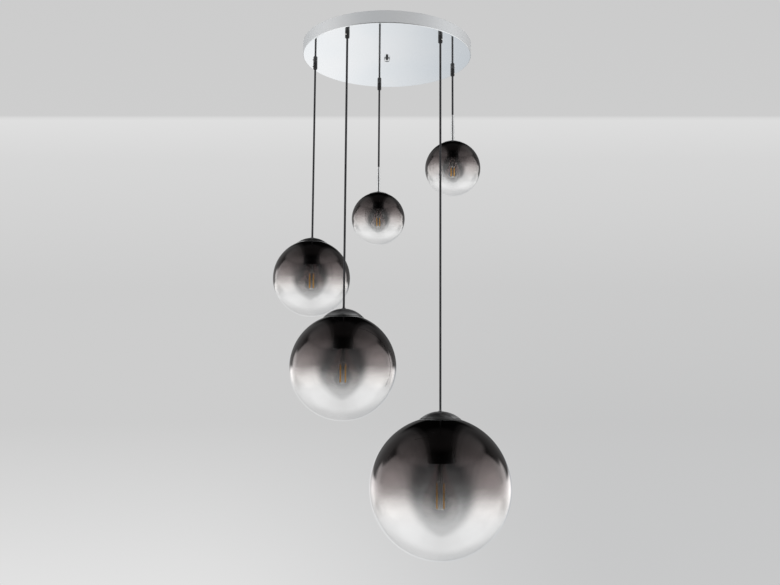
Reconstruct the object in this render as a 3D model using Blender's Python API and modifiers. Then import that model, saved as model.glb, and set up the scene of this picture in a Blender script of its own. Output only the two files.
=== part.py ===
# Five-light bubble chandelier: a round chrome ceiling canopy that carries five
# smoked glass globes on black cords. Metres, +Z up. The origin is the centre of
# the mounting bracket's top face, on the ceiling. The photograph looks along +Y.

import math

import bmesh
import bpy
from mathutils import Matrix, Vector

# Clearance between pieces that touch
gap = 0.0003
# How far a cutter runs past the faces that it cuts
overrun = 0.002
merge_distance = 0.00001

# Canopy
canopy_diameter = 0.440
canopy_depth = 0.032
canopy_wall = 0.0012
canopy_edge_radius = 0.002
canopy_sides = 48
# From the canopy's edge in to the middle of each cord grip
grip_inset = 0.024
first_pendant_angle = 24.5
pendant_count = 5
pendant_spacing_angle = 360 / pendant_count

# Mounting bracket
strap_length = 0.180
strap_width = 0.030
strap_thickness = 0.0025
slot_length = 0.020
slot_width = 0.0055
# Strap left between a slot and the strap's end
slot_end_margin = 0.010
earth_hole_offset = -0.030

# Centre stud and the cap nut under the canopy
stud_diameter = 0.006
nut_diameter = 0.0150
nut_height = 0.0100
nut_dome_height = 0.0045
nut_bore_depth = 0.0070
stud_clearance = 0.0005

# Terminal block and earth screw
block_length = 0.044
block_width = 0.024
block_height = 0.014
block_offset = 0.036
block_groove_width = 0.0018
block_groove_depth = 0.004
earth_screw_diameter = 0.004
earth_head_diameter = 0.008
earth_head_height = 0.003

# Cord, its grip and the nut inside the canopy
cord_diameter = 0.0052
cord_bore_clearance = 0.0003
cord_sides_resolution = 2
cord_points = 11
grip_diameter = 0.0110
grip_length = 0.0175
grip_chamfer = 0.0012
neck_diameter = 0.0094
neck_clearance = 0.0004
lock_nut_width = 0.0140
lock_nut_thickness = 0.0030
neck_spare = 0.0030
clamp_screw_diameter = 0.0034
clamp_hole_clearance = 0.0003
clamp_screw_proud = 0.0020
clamp_screw_tip_inset = 0.0004
clamp_height_share = 0.45

# Cord tails inside the canopy
sleeve_diameter = 0.018
sleeve_length = 0.011
sleeve_side_offset = 0.006
tail_rise = 0.014
tail_bend_reach = 0.030
tail_points = 9

# Caps, stems, galleries and holders
cap_wall = 0.0010
cap_lip = 0.0015
collar_diameter = 0.0090
collar_height = 0.0020
boss_diameter = 0.0150
stem_top_diameter = 0.0068
stem_bottom_diameter = 0.0098
stem_length = 0.0700
gallery_wall = 0.0012
gallery_clearance = 0.0008
gallery_plate_thickness = 0.0015
ear_width = 0.0080
ear_reach = 0.0040
ear_thickness = 0.0015
ear_root = 0.0030
ear_count = 3
holder_wall = 0.0025
glass_wall = 0.0020
shoulder_margin = 0.0020
bulb_wall = 0.0010

# Shares of a globe's radius, above its centre
gallery_bottom_share = 0.77
holder_bottom_share = 0.345

# Lamp bases: the two screw sizes that such holders take
large_base = {"shell_diameter": 0.0262, "length": 0.0270, "socket_depth": 0.0340}
small_base = {"shell_diameter": 0.0136, "length": 0.0190, "socket_depth": 0.0250}
contact_diameter = 0.0080
contact_height = 0.0020
shell_shoulder = 0.0040
thread_depth = 0.0007
thread_ridges = 3
first_ridge_share = 0.75
mount_stem_diameter = 0.0070
crown_thickness = 0.0015
filament_width = 0.0022
filament_count = 4
filament_overlap = 0.0005

# The pendants from the highest to the lowest. drop runs from the canopy's lower
# face to the globe's centre, and bulb_reach from the centre to the bulb's lower end
first_pendant = {
    "drop": 0.2762, "globe_diameter": 0.1480, "cap_diameter": 0.0520,
    "cap_rise": 0.0060, "stem": True, "holder_top": 0.0290, "holder_bottom": 0.0320,
    "base": small_base, "bulb_diameter": 0.0470, "bulb_reach": 0.0390,
    "filament_top": 0.0040, "filament_length": 0.0270, "filament_spread": 0.0080,
    "sides": 16,
}
second_pendant = {
    "drop": 0.3914, "globe_diameter": 0.1480, "cap_diameter": 0.0520,
    "cap_rise": 0.0060, "stem": True, "holder_top": 0.0290, "holder_bottom": 0.0320,
    "base": small_base, "bulb_diameter": 0.0470, "bulb_reach": 0.0390,
    "filament_top": 0.0040, "filament_length": 0.0270, "filament_spread": 0.0080,
    "sides": 16,
}
third_pendant = {
    "drop": 0.5823, "globe_diameter": 0.1994, "cap_diameter": 0.0790,
    "cap_rise": 0.0140, "stem": False, "holder_top": 0.0370, "holder_bottom": 0.0440,
    "base": large_base, "bulb_diameter": 0.0740, "bulb_reach": 0.0510,
    "filament_top": 0.0147, "filament_length": 0.0420, "filament_spread": 0.0098,
    "sides": 20,
}
fourth_pendant = {
    "drop": 0.8198, "globe_diameter": 0.2492, "cap_diameter": 0.0960,
    "cap_rise": 0.0220, "stem": False, "holder_top": 0.0390, "holder_bottom": 0.0510,
    "base": large_base, "bulb_diameter": 0.0880, "bulb_reach": 0.0680,
    "filament_top": 0.0100, "filament_length": 0.0470, "filament_spread": 0.0118,
    "sides": 24,
}
fifth_pendant = {
    "drop": 1.0977, "globe_diameter": 0.3304, "cap_diameter": 0.0987,
    "cap_rise": 0.0190, "stem": False, "holder_top": 0.0440, "holder_bottom": 0.0670,
    "base": large_base, "bulb_diameter": 0.0940, "bulb_reach": 0.0880,
    "filament_top": 0.0133, "filament_length": 0.0620, "filament_spread": 0.0162,
    "sides": 28,
}
pendants = [first_pendant, second_pendant, third_pendant, fourth_pendant, fifth_pendant]

# Places that follow from the sizes above
face_z = -canopy_depth
floor_z = face_z + canopy_wall
pitch_radius = canopy_diameter / 2 - grip_inset
mouth_z = face_z - gap - grip_length
cord_radius = cord_diameter / 2
bore_radius = cord_radius + cord_bore_clearance
neck_top_z = floor_z + gap + lock_nut_thickness + neck_spare
block_bottom_z = -strap_thickness - gap - block_height


def remove_everything():
    """Empty the scene that the script starts in."""
    for obj in list(bpy.data.objects):
        bpy.data.objects.remove(obj, do_unlink=True)


remove_everything()
parts = bpy.data.collections.new("bubble_chandelier")
cutters = bpy.data.collections.new("cutters")
bpy.context.scene.collection.children.link(parts)
bpy.context.scene.collection.children.link(cutters)


def finish(name, colour, roughness, metallic, alpha=1.0):
    """A plain material with the piece's own colour, roughness and metallic value."""
    material = bpy.data.materials.new(name)
    material.use_nodes = True
    shader = material.node_tree.nodes["Principled BSDF"]
    shader.inputs["Base Color"].default_value = (*colour, 1.0)
    shader.inputs["Roughness"].default_value = roughness
    shader.inputs["Metallic"].default_value = metallic
    shader.inputs["Alpha"].default_value = alpha
    return material


chrome = finish("chrome", (0.86, 0.88, 0.89), 0.06, 1.0)
zinc_steel = finish("zinc_steel", (0.62, 0.63, 0.62), 0.35, 1.0)
brass = finish("brass", (0.72, 0.56, 0.28), 0.30, 1.0)
white_nylon = finish("white_nylon", (0.85, 0.85, 0.82), 0.45, 0.0)
black_nylon = finish("black_nylon", (0.018, 0.018, 0.019), 0.42, 0.0)
black_cord = finish("black_cord", (0.020, 0.020, 0.022), 0.50, 0.0)
black_metal = finish("black_metal", (0.012, 0.012, 0.012), 0.30, 0.6)
black_phenolic = finish("black_phenolic", (0.012, 0.012, 0.013), 0.30, 0.0)
smoked_glass = finish("smoked_glass", (0.30, 0.27, 0.26), 0.03, 0.0, 0.45)
clear_glass = finish("clear_glass", (0.80, 0.80, 0.80), 0.03, 0.0, 0.35)
nickel = finish("nickel", (0.66, 0.65, 0.62), 0.25, 1.0)


def shade(mesh):
    """Smooth faces with sharp edges where the surface turns."""
    mesh.shade_smooth()
    mesh.set_sharp_from_angle(angle=math.radians(35))


def add_object(name, data, material, parent=None, location=(0, 0, 0)):
    """Put a mesh or curve into the model under its parent."""
    obj = bpy.data.objects.new(name, data)
    parts.objects.link(obj)
    data.materials.append(material)
    obj.parent = parent
    obj.location = location
    return obj


def add_empty(name, parent=None, location=(0, 0, 0), turn=0.0):
    """An axis that moving pieces are parented to."""
    obj = bpy.data.objects.new(name, None)
    parts.objects.link(obj)
    obj.parent = parent
    obj.location = location
    obj.rotation_euler = (0, 0, turn)
    return obj


def turned(name, profile, sides, material, parent=None, location=(0, 0, 0), closed=False):
    """A turned piece: a profile of (radius, height) points swept round Z.

    The profile runs down the outer side. A closed one joins its last point to
    its first, and an open one starts and ends on the axis.
    """
    mesh = bpy.data.meshes.new(name)
    points = [(radius, 0, height) for radius, height in profile]
    edges = [(i, i + 1) for i in range(len(points) - 1)]
    if closed:
        edges.append((len(points) - 1, 0))
    mesh.from_pydata(points, edges, [])
    obj = add_object(name, mesh, material, parent, location)
    screw = obj.modifiers.new("turn", "SCREW")
    screw.axis = "Z"
    screw.steps = sides
    screw.render_steps = sides
    screw.use_merge_vertices = True
    screw.merge_threshold = merge_distance
    screw.use_smooth_shade = True
    return obj


def cutter_object(name, mesh, parent=None, location=(0, 0, 0)):
    """A hidden solid that a Boolean takes away."""
    obj = bpy.data.objects.new(name, mesh)
    cutters.objects.link(obj)
    obj.parent = parent
    obj.location = location
    obj.hide_render = True
    obj.display_type = "WIRE"
    return obj


def cylinder_mesh(name, radius, low, high, sides, turn=None):
    """A capped cylinder along Z, turned by a matrix where one is given."""
    bm = bmesh.new()
    bmesh.ops.create_cone(
        bm, cap_ends=True, segments=sides, radius1=radius, radius2=radius, depth=high - low
    )
    bmesh.ops.translate(bm, verts=bm.verts, vec=(0, 0, (high + low) / 2))
    if turn is not None:
        bmesh.ops.transform(bm, matrix=turn, verts=bm.verts)
    mesh = bpy.data.meshes.new(name)
    bm.to_mesh(mesh)
    bm.free()
    return mesh


def box_mesh(name, size, centre):
    """A box of a given size about a centre."""
    bm = bmesh.new()
    bmesh.ops.create_cube(bm, size=1)
    bmesh.ops.scale(bm, vec=size, verts=bm.verts)
    bmesh.ops.translate(bm, verts=bm.verts, vec=centre)
    mesh = bpy.data.meshes.new(name)
    bm.to_mesh(mesh)
    bm.free()
    return mesh


def slot_mesh(name, length, width, low, high, sides=12):
    """A slot with round ends along X: a cylinder whose halves are drawn apart."""
    mesh = cylinder_mesh(name, width / 2, low, high, sides, Matrix.Rotation(math.pi / sides, 4, "Z"))
    stretch = (length - width) / 2
    for vertex in mesh.vertices:
        vertex.co.x += math.copysign(stretch, vertex.co.x)
    return mesh


def boolean(target, tool, operation="DIFFERENCE"):
    """Cut a tool from the target, or join it to it."""
    modifier = target.modifiers.new(operation.lower(), "BOOLEAN")
    modifier.operation = operation
    modifier.solver = "EXACT"
    modifier.object = tool


def swept_tube(name, points, radius, resolution):
    """A capped tube along a list of points, as a poly curve."""
    curve = bpy.data.curves.new(name, "CURVE")
    curve.dimensions = "3D"
    curve.bevel_depth = radius
    curve.bevel_resolution = resolution
    curve.use_fill_caps = True
    spline = curve.splines.new("POLY")
    spline.points.add(len(points) - 1)
    for target, point in zip(spline.points, points):
        target.co = (*point, 1)
    return curve


def mesh_of_curve(name, curve):
    """The curve as a closed mesh with welded caps."""
    carrier = bpy.data.objects.new(name, curve)
    bpy.context.scene.collection.objects.link(carrier)
    evaluated = carrier.evaluated_get(bpy.context.evaluated_depsgraph_get())
    mesh = bpy.data.meshes.new_from_object(evaluated)
    bpy.data.objects.remove(carrier)
    bm = bmesh.new()
    bm.from_mesh(mesh)
    bmesh.ops.remove_doubles(bm, verts=bm.verts, dist=merge_distance)
    bmesh.ops.recalc_face_normals(bm, faces=bm.faces)
    bm.to_mesh(mesh)
    bm.free()
    mesh.name = name
    return mesh


def arc(centre_height, radius, start, end, steps):
    """Points (radius from the axis, height) of an arc about a centre on the axis.

    Angles are measured down from +Z.
    """
    points = []
    for i in range(steps + 1):
        angle = start + (end - start) * i / steps
        points.append((radius * math.sin(angle), centre_height + radius * math.cos(angle)))
    return points


def pendant_angle(index):
    """Where a pendant hangs round the canopy, from its place in the pendants list.

    The order goes round anticlockwise, seen from above, from the highest globe.
    """
    return math.radians(first_pendant_angle + index * pendant_spacing_angle)


def pendant_place(index):
    """The point on the pitch circle that a pendant hangs from."""
    angle = pendant_angle(index)
    return pitch_radius * math.cos(angle), pitch_radius * math.sin(angle)


def make_canopy():
    """The spun pan: a flat lower face, a rounded edge and a straight rim."""
    outer = canopy_diameter / 2
    inner = outer - canopy_wall
    edge = canopy_edge_radius
    inner_edge = edge - canopy_wall
    profile = [(0, floor_z), (outer - edge, floor_z)]
    corner_z = face_z + edge
    corner_r = outer - edge
    for angle in (45, 90):
        turn = math.radians(angle)
        profile.append((corner_r + inner_edge * math.sin(turn), corner_z - inner_edge * math.cos(turn)))
    profile += [(inner, 0), (outer, 0)]
    for angle in (90, 60, 30, 0):
        turn = math.radians(angle)
        profile.append((corner_r + edge * math.sin(turn), corner_z - edge * math.cos(turn)))
    profile.append((0, face_z))
    pan = turned("canopy_pan", profile, canopy_sides, chrome)
    low = face_z - overrun
    high = floor_z + overrun
    for index in range(pendant_count):
        mesh = cylinder_mesh("grip_hole", neck_diameter / 2 + neck_clearance, low, high, 12)
        boolean(pan, cutter_object(f"grip_hole_{index + 1}", mesh, location=(*pendant_place(index), 0)))
    mesh = cylinder_mesh("stud_hole", stud_diameter / 2 + stud_clearance, low, high, 12)
    boolean(pan, cutter_object("stud_hole", mesh))


def make_bracket():
    """The steel strap that is screwed to the ceiling through its two slots."""
    size = (strap_length, strap_width, strap_thickness)
    strap = add_object("mounting_bracket", box_mesh("strap", size, (0, 0, -strap_thickness / 2)), zinc_steel)
    slot_place = (strap_length - slot_length) / 2 - slot_end_margin
    for side in (-1, 1):
        mesh = slot_mesh("slot", slot_length, slot_width, -strap_thickness - overrun, overrun)
        boolean(strap, cutter_object("slot", mesh, location=(side * slot_place, 0, 0)))
    radius = earth_screw_diameter / 2 + gap
    mesh = cylinder_mesh("earth_hole", radius, -strap_thickness - overrun, overrun, 10)
    boolean(strap, cutter_object("earth_hole", mesh, location=(earth_hole_offset, 0, 0)))


def make_stud_and_cap_nut():
    """The threaded rod under the strap and the domed nut that holds the pan up."""
    radius = stud_diameter / 2
    nut_top = face_z - gap
    bore_floor = nut_top - nut_bore_depth
    low = bore_floor + gap
    add_object("centre_stud", cylinder_mesh("stud", radius, low, -strap_thickness - gap, 12), zinc_steel)
    bore = radius + gap
    outer = nut_diameter / 2
    bottom = nut_top - nut_height
    shoulder = bottom + nut_dome_height
    profile = [(0, bore_floor), (bore, bore_floor), (bore, nut_top), (outer, nut_top), (outer, shoulder)]
    for angle in (60, 30, 0):
        turn = math.radians(angle)
        profile.append((outer * math.sin(turn), shoulder - nut_dome_height * math.cos(turn)))
    turned("canopy_cap_nut", profile, 16, chrome)


def make_terminal_block():
    """The three-way block under the strap, with grooves between its poles."""
    top = -strap_thickness - gap
    size = (block_length, block_width, block_height)
    mesh = box_mesh("block", size, (block_offset, 0, top - block_height / 2))
    block = add_object("terminal_block", mesh, white_nylon)
    for side in (-1, 1):
        low = top - block_height - overrun
        high = top - block_height + block_groove_depth
        groove = (block_groove_width, block_width + 2 * overrun, high - low)
        centre = (block_offset + side * block_length / 6, 0, (low + high) / 2)
        boolean(block, cutter_object("groove", box_mesh("groove", groove, centre)))


def make_earth_screw():
    """A pan-head screw up through the strap."""
    head_top = -strap_thickness - gap
    shank = earth_screw_diameter / 2
    head = earth_head_diameter / 2
    profile = [
        (0, -gap),
        (shank, -gap),
        (shank, head_top),
        (head, head_top),
        (head, head_top - earth_head_height),
        (0, head_top - earth_head_height),
    ]
    turned("earth_screw", profile, 10, brass, location=(earth_hole_offset, 0, 0))


def tail_path(index, sleeve):
    """The cord's way from the top of its grip to the sleeve, as a cubic curve."""
    x, y = pendant_place(index)
    start = Vector((x, y, neck_top_z + gap))
    end = Vector(sleeve)
    inward = Vector((end.x - x, end.y - y, 0)).normalized()
    up = Vector((0, 0, tail_rise))
    second = start + up
    third = start + inward * tail_bend_reach * 2 + up
    points = []
    for i in range(tail_points):
        t = i / (tail_points - 1)
        s = 1 - t
        points.append(start * s**3 + second * 3 * s * s * t + third * 3 * s * t * t + end * t**3)
    return points


def make_harness():
    """The five cord tails, gathered into one sleeve under the terminal block."""
    high = block_bottom_z - gap
    low = high - sleeve_length
    centre = Vector((block_offset, sleeve_side_offset, 0))
    mesh = cylinder_mesh("sleeve", sleeve_diameter / 2, low, high, 12)
    mesh.transform(Matrix.Translation(centre))
    harness = add_object("cord_harness", mesh, black_cord)
    entry = centre + Vector((0, 0, low + cord_diameter))
    for index in range(pendant_count):
        tube = swept_tube("tail", tail_path(index, entry), cord_radius, cord_sides_resolution)
        tail = cutter_object(f"tail_{index + 1}", mesh_of_curve("tail", tube))
        boolean(harness, tail, "UNION")


def make_lock_nut(index):
    """The hexagonal nut on the grip's neck, on the canopy's floor."""
    radius = lock_nut_width / 2 / math.cos(math.radians(30))
    low = floor_z + gap
    high = low + lock_nut_thickness
    place = (*pendant_place(index), 0)
    nut = add_object(f"lock_nut_{index + 1}", cylinder_mesh("nut", radius, low, high, 6), zinc_steel)
    nut.location = place
    mesh = cylinder_mesh("nut_hole", neck_diameter / 2 + gap, low - overrun, high + overrun, 12)
    boolean(nut, cutter_object(f"nut_hole_{index + 1}", mesh, location=place))


def make_grip(number, axis):
    """The cord grip and its clamp screw. axis is the empty at the grip's mouth."""
    body = grip_diameter / 2
    neck = neck_diameter / 2
    top = neck_top_z - mouth_z
    seat = grip_length
    profile = [
        (bore_radius, top),
        (neck, top),
        (neck, seat),
        (body, seat),
        (body, grip_chamfer),
        (body - grip_chamfer, 0),
        (bore_radius, 0),
    ]
    grip = turned(f"cord_grip_{number}", profile, 12, black_nylon, axis, closed=True)
    level = grip_length * clamp_height_share
    across = Matrix.Translation((0, 0, level)) @ Matrix.Rotation(math.pi / 2, 4, "Y")
    screw_radius = clamp_screw_diameter / 2
    hole = cylinder_mesh("clamp_hole", screw_radius + clamp_hole_clearance, 0, body + overrun, 10, across)
    boolean(grip, cutter_object(f"clamp_hole_{number}", hole, axis))
    tip = cord_radius + clamp_screw_tip_inset
    screw = cylinder_mesh("clamp_screw", screw_radius, tip, body + clamp_screw_proud, 10, across)
    add_object(f"clamp_screw_{number}", screw, zinc_steel, axis)


def make_cord(number, axis, length):
    """The hanging cord, from the grip's mouth to the cap or stem."""
    heights = [-gap - (length - 2 * gap) * i / (cord_points - 1) for i in range(cord_points)]
    curve = swept_tube("cord", [(0, 0, z) for z in heights], cord_radius, cord_sides_resolution)
    add_object(f"cord_{number}", curve, black_cord, axis)


def make_stem(number, parent, bottom):
    """The slim conical tube above the two smallest caps."""
    high = bottom + stem_length
    profile = [
        (bore_radius, high),
        (stem_top_diameter / 2, high),
        (stem_bottom_diameter / 2, bottom),
        (bore_radius, bottom),
    ]
    turned(f"stem_{number}", profile, 12, chrome, parent, closed=True)


def cap_seat(pendant):
    """Height of the cap's rim over the globe's centre, a clearance above the glass."""
    outer = pendant["globe_diameter"] / 2
    inner_rim = pendant["cap_diameter"] / 2 - cap_wall
    return math.sqrt(outer**2 - inner_rim**2) + gap


def dome_arc(seat, rim, rise, start, steps):
    """A shallow dome's outline from a radius of start out to its rim."""
    radius = (rim**2 + rise**2) / (2 * rise)
    return arc(seat + rise - radius, radius, math.asin(start / radius), math.asin(rim / radius), steps)


def make_cap(number, pendant, parent, gallery_top):
    """The domed cap: a shallow cap of a sphere with a cord collar and a centre boss."""
    rim = pendant["cap_diameter"] / 2
    seat = cap_seat(pendant)
    rise = pendant["cap_rise"]
    collar = collar_diameter / 2
    boss = boss_diameter / 2
    outer_arc = dome_arc(seat, rim, rise, collar, 5)
    inner_arc = dome_arc(seat, rim - cap_wall, rise - cap_wall, boss, 4)
    inner_arc.reverse()
    collar_top = seat + rise + collar_height
    profile = [(bore_radius, collar_top), (collar, collar_top)]
    profile += outer_arc + inner_arc
    profile += [(boss, gallery_top + gap), (bore_radius, gallery_top + gap)]
    turned(f"cap_{number}", profile, pendant["sides"], chrome, parent, closed=True)
    return collar_top


def make_gallery(number, pendant, parent, hole, top, bottom):
    """The carrier in the globe's neck: plate, cone and three ears under the glass."""
    radius = hole - gallery_clearance
    inside = pendant["globe_diameter"] / 2 - glass_wall
    ear_end = hole + ear_reach
    corner = math.hypot(ear_end, ear_width / 2) / math.cos(math.pi / pendant["sides"])
    ear_top = math.sqrt(inside**2 - corner**2) - gap
    ear_bottom = ear_top - ear_thickness
    throat = pendant["holder_top"] / 2
    plate_bottom = top - gallery_plate_thickness
    profile = [
        (bore_radius, top),
        (radius, top),
        (radius, ear_bottom),
        (throat, bottom),
        (throat - gallery_wall, bottom),
        (radius - gallery_wall, ear_bottom),
        (radius - gallery_wall, plate_bottom),
        (bore_radius, plate_bottom),
    ]
    gallery = turned(
        f"gallery_{number}", profile, pendant["sides"], black_metal, parent, closed=True
    )
    root = radius - ear_root
    size = (ear_end - root, ear_width, ear_thickness)
    for ear in range(ear_count):
        mesh = box_mesh("ear", size, ((ear_end + root) / 2, 0, (ear_top + ear_bottom) / 2))
        mesh.transform(Matrix.Rotation(2 * math.pi * ear / ear_count, 4, "Z"))
        boolean(gallery, cutter_object(f"ear_{number}_{ear + 1}", mesh, parent), "UNION")


def make_holder(number, pendant, parent, top):
    """The tapered lamp holder, a solid head over a deep socket. Returns the socket's roof."""
    low = pendant["globe_diameter"] / 2 * holder_bottom_share
    head = pendant["holder_top"] / 2
    skirt = pendant["holder_bottom"] / 2
    roof = low + pendant["base"]["socket_depth"]
    share = (roof - low) / (top - low)
    roof_radius = skirt + (head - skirt) * share - holder_wall
    profile = [(0, top), (head, top), (skirt, low), (skirt - holder_wall, low), (roof_radius, roof), (0, roof)]
    turned(f"lamp_holder_{number}", profile, pendant["sides"], black_phenolic, parent)
    return roof


def make_globe(number, pendant, parent, hole):
    """The blown glass globe with the round hole that the gallery fills.

    A ring of its own just outside the cap keeps the glass true where the cap
    and the ears meet it.
    """
    outer = pendant["globe_diameter"] / 2
    inner = outer - glass_wall
    rings = pendant["sides"] // 2
    shoulder = pendant["cap_diameter"] / 2 + shoulder_margin
    profile = arc(0, inner, math.pi, math.asin(shoulder / inner), rings)
    profile.append((hole, math.sqrt(inner**2 - hole**2)))
    profile.append((hole, math.sqrt(outer**2 - hole**2)))
    profile += arc(0, outer, math.asin(shoulder / outer), math.pi, rings)
    turned(f"globe_{number}", profile, pendant["sides"], smoked_glass, parent)


def bulb_outline(neck, body, neck_z, low, inset):
    """Half the bulb's section, top to bottom: a pear that ends in a half round.

    From the neck to the widest place the radius grows with a squared sine.
    """
    middle = low + body
    points = []
    for i in range(5):
        t = i / 4
        radius = neck + (body - neck) * math.sin(t * math.pi / 2) ** 2
        points.append((radius - inset, neck_z + (middle - neck_z) * t))
    for angle in (60, 30, 0):
        turn = math.radians(angle)
        points.append(((body - inset) * math.sin(turn), middle - (body - inset) * math.cos(turn)))
    return points


def make_bulb(number, pendant, parent, roof):
    """The bulb: screw base with its filament mount, and the glass envelope.

    Its filament bars stand square to the light's front, whichever way its pendant faces.
    """
    base = pendant["base"]
    shell = base["shell_diameter"] / 2
    tip = roof - gap
    shell_top = tip - contact_height - shell_shoulder
    shell_low = tip - base["length"]
    contact = contact_diameter / 2
    filament_high = pendant["filament_top"]
    crown_low = filament_high - filament_overlap
    crown_high = crown_low + crown_thickness
    spread = pendant["filament_spread"] / 2
    crown = math.hypot(spread, spread) + filament_width
    post = mount_stem_diameter / 2
    profile = [(0, tip), (contact, tip), (contact, tip - contact_height), (shell - thread_depth, shell_top)]
    pitch = (shell_top - shell_low) / (thread_ridges + 1)
    for ridge in range(thread_ridges):
        middle = shell_top - pitch * (ridge + first_ridge_share)
        profile += [(shell, middle), (shell - thread_depth, middle - pitch / 2)]
    profile += [(shell, shell_low), (post, shell_low), (post, crown_high), (crown, crown_high)]
    profile += [(crown, crown_low), (0, crown_low)]
    lamp = turned(f"bulb_base_{number}", profile, 10, nickel, parent)
    size = (filament_width, filament_width, pendant["filament_length"])
    square = Matrix.Rotation(-pendant_angle(number - 1), 4, "Z")
    for bar in range(filament_count):
        x = spread if bar % 2 else -spread
        y = spread if bar // 2 else -spread
        mesh = box_mesh("filament", size, (x, y, filament_high - pendant["filament_length"] / 2))
        mesh.transform(square)
        boolean(lamp, cutter_object(f"filament_{number}_{bar + 1}", mesh, parent), "UNION")
    neck_z = shell_low - gap
    body = pendant["bulb_diameter"] / 2
    low = -pendant["bulb_reach"]
    outer = bulb_outline(shell, body, neck_z, low, 0)
    inner = bulb_outline(shell, body, neck_z, low, bulb_wall)
    inner.reverse()
    turned(f"bulb_glass_{number}", inner + outer, 14, clear_glass, parent)


def make_pendant(index):
    """One pendant on its three axes: turning, swinging and sliding."""
    number = index + 1
    pendant = pendants[index]
    angle = pendant_angle(index)
    place = (*pendant_place(index), face_z)
    turn_axis = add_empty(f"turn_axis_{number}", None, place, angle)
    swing_axis = add_empty(f"swing_axis_{number}", turn_axis, (0, 0, mouth_z - face_z))
    centre = face_z - pendant["drop"] - mouth_z
    slide_axis = add_empty(f"slide_axis_{number}", swing_axis, (0, 0, centre))
    hole = pendant["cap_diameter"] / 2 - cap_lip
    gallery_top = math.sqrt((pendant["globe_diameter"] / 2) ** 2 - hole**2)
    gallery_bottom = pendant["globe_diameter"] / 2 * gallery_bottom_share
    top = make_cap(number, pendant, slide_axis, gallery_top)
    if pendant["stem"]:
        make_stem(number, slide_axis, top + gap)
        top += gap + stem_length
    make_lock_nut(index)
    make_grip(number, swing_axis)
    make_cord(number, swing_axis, -(centre + top))
    make_gallery(number, pendant, slide_axis, hole, gallery_top, gallery_bottom)
    roof = make_holder(number, pendant, slide_axis, gallery_bottom - gap)
    make_globe(number, pendant, slide_axis, hole)
    make_bulb(number, pendant, slide_axis, roof)


make_canopy()
make_bracket()
make_stud_and_cap_nut()
make_terminal_block()
make_earth_screw()
make_harness()
for pendant_index in range(pendant_count):
    make_pendant(pendant_index)
for piece in parts.objects:
    if piece.type == "MESH":
        shade(piece.data)
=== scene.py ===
import math

import bmesh
import bpy
import numpy as np
from mathutils import Matrix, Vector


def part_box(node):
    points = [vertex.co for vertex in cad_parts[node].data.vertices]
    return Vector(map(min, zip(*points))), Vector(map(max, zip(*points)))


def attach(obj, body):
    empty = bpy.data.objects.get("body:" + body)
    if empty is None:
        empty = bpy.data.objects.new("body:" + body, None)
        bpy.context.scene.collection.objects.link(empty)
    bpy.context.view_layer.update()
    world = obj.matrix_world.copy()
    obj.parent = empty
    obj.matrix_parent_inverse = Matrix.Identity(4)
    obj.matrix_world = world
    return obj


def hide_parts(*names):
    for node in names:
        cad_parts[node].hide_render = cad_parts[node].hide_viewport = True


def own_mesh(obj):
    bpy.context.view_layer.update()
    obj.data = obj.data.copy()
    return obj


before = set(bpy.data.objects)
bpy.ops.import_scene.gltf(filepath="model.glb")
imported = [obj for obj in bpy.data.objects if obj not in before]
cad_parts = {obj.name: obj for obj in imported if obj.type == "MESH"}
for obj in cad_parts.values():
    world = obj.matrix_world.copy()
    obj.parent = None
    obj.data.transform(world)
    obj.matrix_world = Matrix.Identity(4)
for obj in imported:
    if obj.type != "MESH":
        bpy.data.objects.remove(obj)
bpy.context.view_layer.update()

# The camera stands 2.3 m in front of the light and 0.9 m below its canopy, and looks
# slightly up. Its place and lens come from the canopy's ellipse, the five grips and
# the globes in the photograph, which fit it with no lens shift.
camera_place = (0.0121, -2.2600, -0.9276)
camera_rise, camera_roll = 6.89, 0.39


def placed(name, data):
    """An object for a mesh or camera, in the scene."""
    piece = bpy.data.objects.new(name, data)
    bpy.context.scene.collection.objects.link(piece)
    return piece


camera_lens = bpy.data.cameras.new("camera")
camera_lens.sensor_width = 36
camera_lens.lens = 41.17
camera_lens.clip_start = 0.05
camera = placed("camera", camera_lens)
camera.matrix_world = (
    Matrix.Translation(camera_place)
    @ Matrix.Rotation(math.radians(90 + camera_rise), 4, "X")
    @ Matrix.Rotation(math.radians(camera_roll), 4, "Z")
)
bpy.context.scene.camera = camera
bpy.context.scene.view_settings.view_transform = "Standard"


# The cords. Each is a round two-core flex in a smooth black sheath. A grip under the
# canopy clamps it, and the globe's weight pulls it straight down to its cap or stem.
pendant_numbers = (1, 2, 3, 4, 5)
hanging_circle = 0.1960
first_angle, angle_between = 24.5, 72
cord_diameter = 0.0052
cord_top = -0.0501
cord_bottom = {1: -0.1597, 2: -0.2749, 3: -0.5057, 4: -0.7118, 5: -0.9501}
cord_rings = 25


def hanging_place(number):
    """The point of the hanging circle that a pendant hangs from."""
    angle = math.radians(first_angle + angle_between * (number - 1))
    return hanging_circle * math.cos(angle), hanging_circle * math.sin(angle)


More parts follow.
